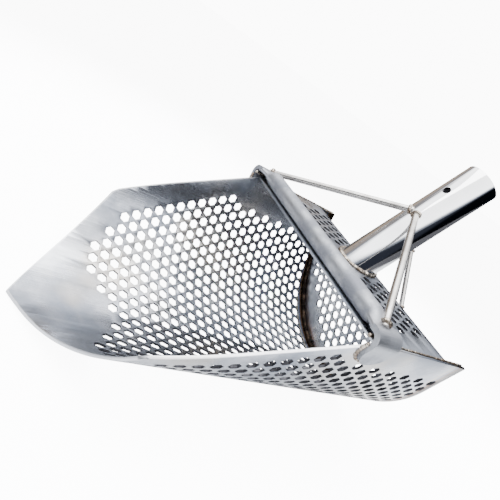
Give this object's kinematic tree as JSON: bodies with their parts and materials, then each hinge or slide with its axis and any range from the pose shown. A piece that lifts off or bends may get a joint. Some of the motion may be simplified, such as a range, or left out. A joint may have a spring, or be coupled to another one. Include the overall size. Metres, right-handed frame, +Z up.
{
  "type": "sand scoop",
  "caption": "Welded stainless sand scoop for beach metal detecting: a rolled sheet basket with hexagonal sieve holes, a pointed open nose, a rear roof and a braced socket for a long handle.",
  "frame": {"origin": "on the floor under the middle of the overall length, under the keel", "axes": "+Z up from the keel, +X from the digging nose towards the handle socket, +Y to the user's right"},
  "size_m": [0.2976, 0.2148, 0.2272],
  "materials": {
    "sheet_steel": "satin stainless sheet with rolling marks",
    "bar_steel": "brushed tube, heat tinted at the ends",
    "rod_steel": "satin round rod",
    "socket_steel": "polished tube",
    "weld_metal": "welded bead with brown heat tint"
  },
  "bodies": {
    "root": {"basket_shell": "sheet_steel", "rear_panel": "sheet_steel", "cross_bar": "bar_steel", "bar_lug_left": "bar_steel", "bar_lug_right": "bar_steel", "handle_socket": "socket_steel", "strut_left": "rod_steel", "strut_right": "rod_steel", "rear_brace_left": "rod_steel", "rear_brace_right": "rod_steel", "rear_seam_weld": "weld_metal", "rim_weld_left": "weld_metal", "rim_weld_right": "weld_metal", "lug_weld_left": "weld_metal", "lug_weld_right": "weld_metal", "bar_weld": "weld_metal", "socket_weld": "weld_metal", "strut_foot_weld_left": "weld_metal", "strut_foot_weld_right": "weld_metal", "strut_head_weld_left": "weld_metal", "strut_head_weld_right": "weld_metal", "brace_foot_weld_left": "weld_metal", "brace_foot_weld_right": "weld_metal", "brace_head_weld_left": "weld_metal", "brace_head_weld_right": "weld_metal"}
  },
  "joints": []
}
